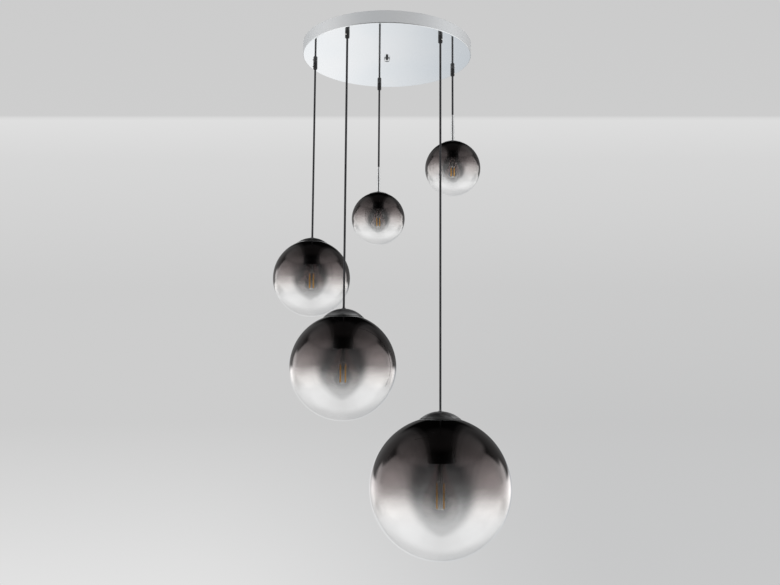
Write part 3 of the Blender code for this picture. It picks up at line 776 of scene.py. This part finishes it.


# The bulbs: a nickel-plated screw shell, a glass mount with wires, four amber filament
# bars with bare metal ends, and a smoky blown envelope that is darkest at its neck. Its
# reddish-brown tint toward the neck is a painted amber reflection.
shell_radius = {1: 0.0068, 2: 0.0068, 3: 0.0131, 4: 0.0131, 5: 0.0131}
shell_length = {1: 0.0190, 2: 0.0190, 3: 0.0270, 4: 0.0270, 5: 0.0270}
bulb_radius = {1: 0.0235, 2: 0.0235, 3: 0.0370, 4: 0.0440, 5: 0.0470}
bulb_reach = {1: 0.0390, 2: 0.0390, 3: 0.0510, 4: 0.0680, 5: 0.0880}
bulb_wall = 0.0010
filament_top = {1: 0.0040, 2: 0.0040, 3: 0.0147, 4: 0.0100, 5: 0.0133}
filament_length = {1: 0.0270, 2: 0.0270, 3: 0.0420, 4: 0.0470, 5: 0.0620}
filament_spread = {1: 0.0080, 2: 0.0080, 3: 0.0098, 4: 0.0118, 5: 0.0162}
filament_radius = 0.0013
wire_radius = 0.00035
thread_turns, thread_depth = 4, 0.0005

nickel, tree, shader = new_material("nickel_plate", (0.66, 0.64, 0.60), 0.25, 1.0)
add_marks(tree, shader, 0.16, 0.36, cloud_scale=60, scratch_scale=900, bump=0.08)
vary_colour(tree, shader, 70.0, 3.0, ((0.3, (0.58, 0.56, 0.52)), (0.7, (0.70, 0.68, 0.64))))

amber, tree, shader = new_material("filament_amber", (0.80, 0.42, 0.06), 0.55)
shader.inputs["Emission Color"].default_value = (0.92, 0.46, 0.12, 1)
shader.inputs["Emission Strength"].default_value = 0.15
speckle = noise(tree, 700.0, 3.0)
speckle_stops = ((0.25, (0.62, 0.30, 0.04)), (0.75, (0.86, 0.48, 0.09)))
tree.links.new(colour_ramp(tree, speckle, speckle_stops), shader.inputs["Base Color"])
grain = node(tree, "ShaderNodeBump", {"Height": speckle, "Strength": 0.3, "Distance": 0.0002})
tree.links.new(grain.outputs["Normal"], shader.inputs["Normal"])

mount_glass, tree, shader = new_material("mount_glass", (0.80, 0.80, 0.78), 0.03)
seeds = map_range(tree, noise(tree, 300.0, 2.0), 0.0, 1.0, 0.25, 0.45)
tree.links.new(seeds, shader.inputs["Alpha"])

bulb_glass = filmed_glass(
    "smoky_bulb_glass", 0.02,
    film_stops=(
        (0.0, 0.05), (0.14, 0.10), (0.26, 0.20), (0.40, 0.27), (0.60, 0.32), (0.80, 0.42),
        (1.0, 0.55),
    ),
    # Painted reflection: the reddish-brown tint toward the neck stands in for an amber reflection.
    tint_stops=(
        (0.0, (0.10, 0.095, 0.09)), (0.4, (0.08, 0.065, 0.06)), (0.6, (0.06, 0.032, 0.028)),
        (1.0, (0.03, 0.014, 0.012)),
    ),
    sheen_stops=((0.0, 0.012), (1.0, 0.012)),
    rim_stops=((0.0, 0.02), (1.0, 0.02)),
    least=0.60, soft=1.3,
)


def envelope(shell, body, neck, middle, inset):
    """Half a bulb's outline, set in by inset.

    From the neck down to the middle the radius grows from shell to body with a squared
    sine. A half round closes it below.
    """
    t = np.linspace(0, 1, 50)
    widening = shell + (body - shell) * np.sin(t * math.pi / 2) ** 2 - inset
    upper = np.stack((widening, neck + (middle - neck) * t), axis=1)
    turn = np.linspace(math.pi / 2, 0, 36)[1:]
    small = body - inset
    lower = np.stack((small * np.sin(turn), middle - small * np.cos(turn)), axis=1)
    lower[-1, 0] = 0
    return np.concatenate((upper, lower))


for number in pendant_numbers:
    x, y = hanging_place(number)
    centre = globe_centre[number]
    shell = shell_radius[number]
    tip = holder_low[number] + socket_depth[number] - seat_gap
    shell_low = tip - shell_length[number]
    rise = np.linspace(0.08, 0.92, 57)
    thread = shell - thread_depth + thread_depth * np.cos(2 * math.pi * thread_turns * rise)
    profile = [
        (0, tip), (0.0035, tip), (0.0040, tip - 0.0006), (0.0040, tip - 0.0020),
        (shell - 0.0010, tip - 0.0055),
        *zip(thread, tip - 0.0060 - (shell_length[number] - 0.0060) * rise),
        (shell, shell_low), (0, shell_low),
    ]
    base = turned_surface(f"screw_shell_{number}", profile, (x, y, centre), sides=72, sharp=60)
    base.data.materials.append(nickel)

    half = filament_spread[number] / 2
    high = filament_top[number]
    low = high - filament_length[number]
    flare = np.linspace(0, 1, 16)
    foot_radius = min(shell - 0.0015, cap_throat)
    mount_radius = 0.0024 + (foot_radius - 0.0024) * (1 - flare) ** 3
    mount_foot = shell_low - 0.0004
    drop = (shell_low - high - 0.0024) * flare
    profile = [
        (0, mount_foot), *zip(mount_radius, mount_foot - drop),
        (0.0027, high + 0.0016), (0.0022, high + 0.0008), (0, high + 0.0005),
    ]
    mount = turned_surface(f"glass_mount_{number}", profile, (x, y, centre), sides=40, sharp=60)
    mount.data.materials.append(mount_glass)

    bars, ends = [], []
    for p, q in ((half, half), (half, -half), (-half, half), (-half, -half)):
        levels = np.linspace(high - 0.0022, low + 0.0022, 12)
        path = upright(x + p, y + q, centre + levels)
        bars.append(swept_surface(f"bar_{number}_{p}_{q}", path, circle(filament_radius, 16)))
        for end, lean in ((high, -1), (low, 1)):
            levels = np.array((end, end + lean * 0.0021))
            path = upright(x + p, y + q, centre + levels)
            section = rounded_box(0.0004, 0.0009)
            ends.append(swept_surface(f"end_{number}_{p}_{q}_{end}", path, section))
        t = np.linspace(0, 1, 10)
        arch = centre + high + 0.0030 * (1 - t) ** 2
        for kind, heights in (("lead", arch), ("link", centre + low + 0 * t)):
            path = np.stack((x + p * t, y + q * t, heights), axis=1)
            ends.append(swept_surface(f"{kind}_{number}_{p}_{q}", path, circle(wire_radius, 10)))
    filaments = joined(f"filament_bars_{number}", bars)
    filaments.data.materials.append(amber)
    wires = joined(f"filament_wires_{number}", ends)
    wires.data.materials.append(nickel)

    neck = shell_low - seat_gap
    body = bulb_radius[number]
    bottom = -bulb_reach[number]
    inside, outside = (
        envelope(shell, body, neck, bottom + body, inset) for inset in (bulb_wall, 0)
    )
    bulb = turned_surface(
        f"bulb_envelope_{number}", np.concatenate((inside[::-1], outside)), (x, y, centre),
        sides=96, joined_ends=True, sharp=50,
    )
    height_attribute(bulb, centre + (neck + bottom) / 2, (neck - bottom) / 2)
    bulb.data.materials.append(bulb_glass)
    bulb.visible_glossy = False
    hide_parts(f"bulb_glass_{number}")
    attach(bulb, f"pendant_{number}")
    for piece in (base, mount, filaments, wires):
        piece.visible_glossy = False
        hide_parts(f"bulb_base_{number}")
        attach(piece, f"pendant_{number}")


# What the pan hides: a zinc-plated strap screwed to the ceiling, its threaded stud, the
# white terminal block and an earth screw.
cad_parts["mounting_bracket"].data.materials[0] = zinc

stud_pitch = 0.0010
stud_radius, stud_thread = 0.0030, 0.0005
stud_bottom, stud_length = -0.0390, 0.0362
levels = np.arange(0, stud_length / stud_pitch * 8) / 8 * stud_pitch
a = angles(32)
phase = (levels[:, None] / stud_pitch + a / (2 * math.pi)) % 1
thread = stud_radius - stud_thread * np.abs(2 * phase - 1)
grid = round_grid(0, 0, thread, stud_bottom + levels[:, None], a)
first, last = grid[:1] * (0, 0, 1), grid[-1:] * (0, 0, 1)
stud = closed_surface("threaded_stud", np.concatenate((first, grid, last)), sharp=60)
stud.data.materials.append(zinc)
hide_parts("centre_stud")
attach(stud, "root")

nylon_white, tree, shader = new_material("terminal_nylon_white", (0.82, 0.82, 0.78), 0.45)
add_marks(tree, shader, 0.36, 0.52, cloud_scale=90, scratch_scale=1200, bump=0.15)
vary_colour(tree, shader, 60.0, 3.0, ((0.3, (0.80, 0.80, 0.77)), (0.7, (0.86, 0.85, 0.80))))
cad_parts["terminal_block"].data.materials[0] = nylon_white

turned_brass, tree, shader = new_material("turned_brass", (0.72, 0.54, 0.26), 0.28, 1.0)
add_marks(tree, shader, 0.20, 0.40, cloud_scale=120, scratch_scale=1800, bump=0.10)
vary_colour(tree, shader, 160.0, 3.0, ((0.3, (0.62, 0.43, 0.18)), (0.7, (0.78, 0.60, 0.31))))
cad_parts["earth_screw"].data.materials[0] = turned_brass
for name in ("mounting_bracket", "terminal_block", "earth_screw"):
    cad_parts[name].visible_glossy = False
stud.visible_glossy = False


# The lock nuts: hexagonal, cut from zinc-plated steel with chamfered corners. They screw
# on the grips' necks inside the pan and hold the grips up.
nut_low, nut_high = -0.0305, -0.0275
nut_across = 0.0140
nut_bore = 0.0052
for number in pendant_numbers:
    x, y = hanging_place(number)
    a = angles(120)
    low_corner, high_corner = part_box(f"lock_nut_{number}")
    wide = high_corner.x - low_corner.x > high_corner.y - low_corner.y
    corner_turn = 0 if wide else math.pi / 6
    from_corner = (a - corner_turn + math.pi / 6) % (math.pi / 3) - math.pi / 6
    hexagon = nut_across / 2 / np.cos(math.pi / 6 - np.abs(from_corner))
    cut = np.minimum(hexagon, nut_across / 2 + 0.0002)
    chamfer = (hexagon - cut) * 0.6
    bore = nut_bore + 0 * a
    rows = [
        (bore, nut_high), (cut, nut_high), (hexagon, nut_high - chamfer),
        (hexagon, nut_low + chamfer), (cut, nut_low), (bore, nut_low),
    ]
    grid = np.array([round_grid(x, y, r, h, a) for r, h in rows])
    lock_nut = closed_surface(f"hexagon_nut_{number}", grid, joined_ends=True, sharp=25)
    lock_nut.data.materials.append(zinc)
    lock_nut.visible_glossy = False
    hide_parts(f"lock_nut_{number}")
    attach(lock_nut, f"grip_{number}")


# The cord tails inside the pan: the five flexes rise from their grips and come together
# in one moulded sleeve under the terminal block.
sleeve_x, sleeve_y, sleeve_top, sleeve_length = 0.0360, 0.0060, -0.0171, 0.0110
sleeve_radius, sleeve_round = 0.0078, 0.0012
sleeve_bottom = sleeve_top - sleeve_length
sleeve_profile = [
    (0, sleeve_top), (0.0075, sleeve_top),
    *quarter(sleeve_radius, sleeve_top - sleeve_round, sleeve_round, 90, 0, 6),
    *quarter(sleeve_radius, sleeve_bottom + sleeve_round, sleeve_round, 0, -90, 6),
    (0, sleeve_bottom),
]
sleeve = turned_surface("tail_sleeve", sleeve_profile, (sleeve_x, sleeve_y, 0), sides=64)
sleeve.data.materials.append(sheath_black)
sleeve.visible_glossy = False
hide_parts("cord_harness")
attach(sleeve, "root")
for number in pendant_numbers:
    x, y = hanging_place(number)
    start = np.array((x, y, -0.0242))
    end = np.array((sleeve_x, sleeve_y, sleeve_bottom + 0.0052))
    inward = (end - start) * (1, 1, 0)
    inward /= np.linalg.norm(inward)
    up = np.array((0, 0, 0.0140))
    second, third = start + up, start + inward * 0.0600 + up
    t = np.linspace(0, 1, 48)[:, None]
    path = start * (1 - t) ** 3 + second * 3 * (1 - t) ** 2 * t
    path = path + third * 3 * (1 - t) * t**2 + end * t**3
    section = circle(cord_diameter / 2, 16)
    tail = swept_surface(f"flex_tail_{number}", path, section, side=(0, 0, 1))
    tail.data.materials.append(sheath_black)
    tail.visible_glossy = False
    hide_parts("cord_harness")
    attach(tail, "root")


# The stage: a plain pale floor under the light, which fades out into the studio. It gives
# a little light of its own, and neither mirrors nor soft light see it.
floor_height, floor_reach = -2.4, 5
floor_mesh = bpy.data.meshes.new("studio_floor")
floor_corners = ((-1, -1), (1, -1), (1, 1), (-1, 1))
floor_corners = [(p * floor_reach, q * floor_reach, floor_height) for p, q in floor_corners]
floor_mesh.from_pydata(floor_corners, [], [(0, 1, 2, 3)])
floor = placed("studio_floor", floor_mesh)
floor.visible_glossy = False
floor.visible_diffuse = False
floor_pale, tree, shader = new_material("floor_pale", (0.45, 0.45, 0.45), 0.7)
floor_mesh.materials.append(floor_pale)
shader.inputs["Emission Color"].default_value = (1, 1, 1, 1)
shader.inputs["Emission Strength"].default_value = 0.22
point = node(tree, "ShaderNodeTexCoord").outputs["Object"]
level_place = node(tree, "ShaderNodeVectorMath", {0: point, 1: (1, 1, 0)}, operation="MULTIPLY")
away = node(tree, "ShaderNodeVectorMath", {0: level_place.outputs[0]}, operation="LENGTH")
edge = map_range(tree, away.outputs["Value"], 1.2, 4.8, 1.0, 0.0, "SMOOTHSTEP")
tree.links.new(edge, shader.inputs["Alpha"])

# The studio is the world. To mirrors it is bright below and at the sides, and dim behind
# the camera and overhead. Soft light is even, and the camera sees a pale wall with the
# photograph's horizontal line. Directions are side, depth and rise, each from -1 to 1.
world = bpy.data.worlds.new("studio")
bpy.context.scene.world = world
world.use_nodes = True
tree = world.node_tree
direction = node(tree, "ShaderNodeTexCoord").outputs["Generated"]
way = node(tree, "ShaderNodeSeparateXYZ", {"Vector": direction}).outputs
side, depth, rise = way["X"], way["Y"], way["Z"]
aside = calc(tree, "ABSOLUTE", side)
to_camera = calc(tree, "MULTIPLY", depth, -1.0)


def step(value, low, high, start=0.0, end=1.0):
    """A smooth step of a value between two limits."""
    return map_range(tree, value, low, high, start, end, "SMOOTHSTEP")


def times(first, second):
    """A product."""
    return calc(tree, "MULTIPLY", first, second)


def mix(share, first, second):
    """A number between two, by a share."""
    return node(tree, "ShaderNodeMix", {"Factor": share, "A": first, "B": second}).outputs["Result"]


def blend_of(share, first, second):
    """A colour between two, by a share. Each is a socket or three numbers."""
    first, second = (
        value if isinstance(value, bpy.types.NodeSocket) else (*value, 1)
        for value in (first, second)
    )
    values = {"Factor": share, "A": first, "B": second}
    return node(tree, "ShaderNodeMix", values, data_type="RGBA").outputs["Result"]


def grey_ramp(value, top, stops):
    """A smooth curve over a value between 0 and 1, times its top."""
    return times(colour_ramp(tree, value, [(place, level / top) for place, level in stops]), top)


# The bright panels at both sides, up to a height that falls with depth.
side_panel = grey_ramp(
    aside, 2.6,
    ((0, 0.02), (0.5, 0.10), (0.6, 0.28), (0.7, 0.60), (0.8, 1.15), (0.9, 1.9), (1, 2.6)),
)
side_panel = times(side_panel, step(rise, 0.18, 0.46, 1.0, 0.75))
side_panel = times(side_panel, step(depth, 0.40, 0.62, 1.0, 1.9))
panel_top = calc(
    tree, "SUBTRACT", step(depth, 0.10, 0.56, 0.62, 0.28), step(depth, 0.60, 0.85, 0.0, 0.28)
)
over_panel = calc(tree, "SUBTRACT", rise, panel_top)
side_panel = times(side_panel, step(over_panel, -0.07, 0.07, 1.0, 0.12))

# Overhead: a dim ceiling, a dim camera side, and a grey far zone that darkens to the right.
ceiling = grey_ramp(
    aside, 0.85,
    ((0, 0.01), (0.22, 0.02), (0.30, 0.10), (0.39, 0.38), (0.5, 0.52), (0.75, 0.72), (1, 0.85)),
)
ceiling = times(ceiling, step(depth, 0.15, 0.75, 1.0, 0.40))
overhead = mix(step(rise, 0.54, 0.66), side_panel, ceiling)
behind_camera = times(step(to_camera, 0.50, 0.85), step(rise, 0.34, 0.62, 1.0, 0.0))
overhead = mix(behind_camera, overhead, 0.21)
far_low = times(step(rise, 0.40, 0.52, 1.0, 0.0), step(depth, 0.60, 0.85))
overhead = mix(far_low, overhead, step(side, -0.30, 0.20, 0.18, 0.12))
far_side = times(step(depth, 0.30, 0.58), step(aside, 0.25, 0.45))
far_side = times(far_side, step(over_panel, -0.07, 0.07))
far_side = times(far_side, step(rise, 0.60, 0.80, 1.0, 0.3))
overhead = mix(far_side, overhead, step(side, -0.30, 0.30, 0.26, 0.17))
overhead = calc(tree, "ADD", overhead, step(rise, 0.86, 0.98, 0.0, 0.05))

# Below: bright, but for the camera side, with a far wall that is darker on the right.
below = grey_ramp(aside, 1.0, ((0, 0.68), (0.3, 0.84), (0.45, 0.94), (0.62, 1)))
height_curve = grey_ramp(
    times(rise, -1.0), 3.6,
    ((0, 2.7), (0.15, 2.9), (0.30, 3.3), (0.45, 3.6), (0.65, 3.2), (1, 3.2)),
)
below = times(below, height_curve)
camera_side = calc(tree, "DIVIDE", to_camera, calc(tree, "ADD", aside, 0.60))
below = times(below, step(camera_side, 0.28, 0.62, 1.0, 0.03))
farther = mix(step(rise, -0.30, -0.05, 1.0, 0.0), 1.0, step(depth, 0.15, 0.70, 1.0, 0.55))
below = times(below, farther)
far_wall = blend_of(step(side, -0.10, 0.12), (0.99, 0.995, 1.0), (0.59, 0.62, 0.65))
far_share = times(step(depth, 0.20, 0.80), step(aside, 0.32, 0.66, 1.0, 0.0))
below = blend_of(far_share, below, far_wall)
mirrored = blend_of(step(rise, -0.02, 0.06), below, overhead)

# What the camera sees: a wall in bands of grey, a little darker at its lower right.
level = calc(tree, "MULTIPLY_ADD", side, -0.0068, rise)
tilt = calc(tree, "DIVIDE", level, calc(tree, "MAXIMUM", depth, 0.30))
wall_stops = (
    (0.0, 0.79), (0.10, 0.74), (0.30, 0.61), (0.50, 0.61), (0.70, 0.68), (0.764, 0.74),
    (0.769, 0.615), (1.0, 0.605),
)
wall = colour_ramp(tree, map_range(tree, tilt, -0.25, 0.50), wall_stops, "LINEAR")
lower_right = times(step(side, -0.25, 0.25), step(rise, -0.20, 0.22, 0.70, 0.05))
wall = blend_of(lower_right, wall, (0.50, 0.505, 0.51))
soft_light = blend_of(step(rise, -1.0, 1.0), (1.05, 1.05, 1.05), (0.95, 0.95, 0.96))
rays = node(tree, "ShaderNodeLightPath").outputs
lit = blend_of(rays["Is Diffuse Ray"], mirrored, soft_light)
lit = blend_of(rays["Is Camera Ray"], lit, wall)
tree.links.new(lit, tree.nodes["Background"].inputs["Color"])

bpy.context.view_layer.update()
